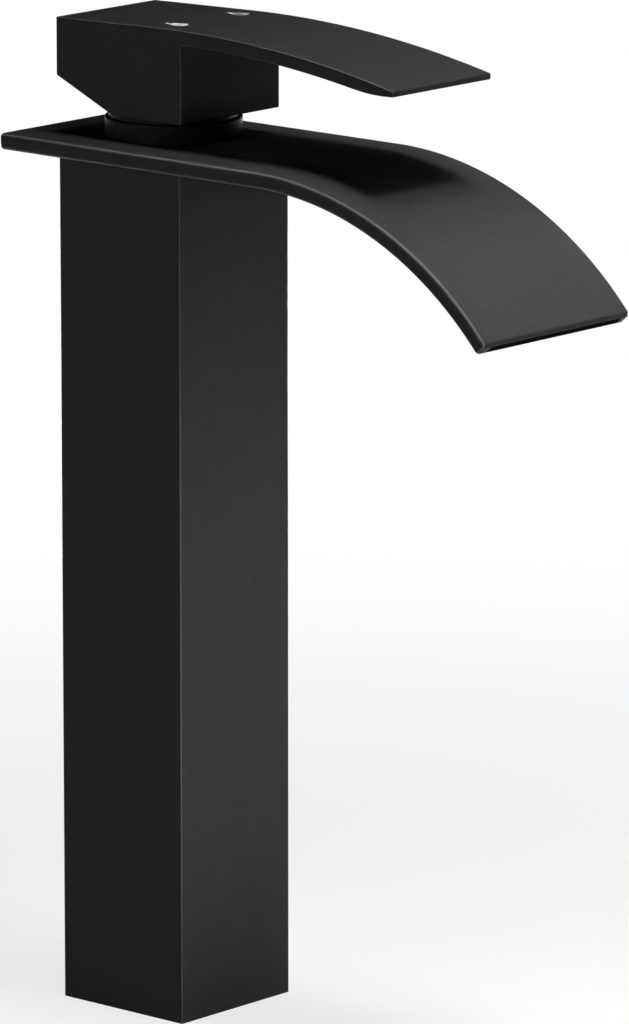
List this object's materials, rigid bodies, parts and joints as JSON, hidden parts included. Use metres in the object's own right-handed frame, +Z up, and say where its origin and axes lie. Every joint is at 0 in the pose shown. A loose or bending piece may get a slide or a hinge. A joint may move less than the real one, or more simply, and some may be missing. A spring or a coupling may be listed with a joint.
{
  "type": "bathroom mixer faucet",
  "caption": "Tall matte black basin mixer: a square column, a wide spout that curves down to a waterfall edge, and a block handle whose flat lever lifts for flow and turns for heat.",
  "frame": {"origin": "centre of the column's foot, on the deck that it stands on", "axes": "+Z up along the column, -Y forward along the spout and the lever, +X to the side of the cold port"},
  "size_m": [0.068, 0.1972, 0.3128],
  "materials": {
    "black_coat": "matte powder coat",
    "body_brass": "machined casting",
    "seal_rubber": "moulded",
    "cartridge_plastic": "moulded",
    "disc_ceramic": "lapped",
    "spindle_steel": "machined",
    "cap_plastic": "moulded",
    "silver_inlay": "satin"
  },
  "bodies": {
    "faucet_body": {"column": "black_coat", "base_bridge": "body_brass", "base_gasket": "seal_rubber", "valve_body": "body_brass", "spout_gasket": "seal_rubber", "spout_tray": "black_coat", "spout_cover": "black_coat", "bonnet_gasket": "seal_rubber", "bonnet": "black_coat", "cartridge_base": "cartridge_plastic", "inlet_seals": "seal_rubber", "cartridge_housing": "cartridge_plastic", "housing_o_ring": "seal_rubber", "fixed_disc": "disc_ceramic"},
    "swivel": {"stem_carrier": "cartridge_plastic", "stem_o_ring": "seal_rubber", "pivot_pin": "spindle_steel"},
    "lever": {"cartridge_stem": "spindle_steel", "handle": "black_coat", "handle_set_screw": "spindle_steel", "set_screw_cap": "cap_plastic", "hot_mark": "silver_inlay", "cold_mark": "silver_inlay"},
    "disc": {"moving_disc": "disc_ceramic", "disc_carrier": "cartridge_plastic"}
  },
  "joints": [
    {"name": "temperature", "type": "hinge", "parent": "faucet_body", "child": "swivel", "pos_m": [0, 0, 0.288], "axis": [0, 0, 1], "range_deg": [-45, 45]},
    {"name": "lift", "type": "hinge", "parent": "swivel", "child": "lever", "pos_m": [0, 0, 0.288], "axis": [-1, 0, 0], "range_deg": [0, 22]},
    {"name": "disc_slide", "type": "slide", "parent": "swivel", "child": "disc", "axis": [0, -1, 0], "range_m": [0, 0.0047]}
  ],
  "couplings": [
    {"joint": "disc_slide", "follows": "lift", "m_per_rad": 0.012}
  ]
}
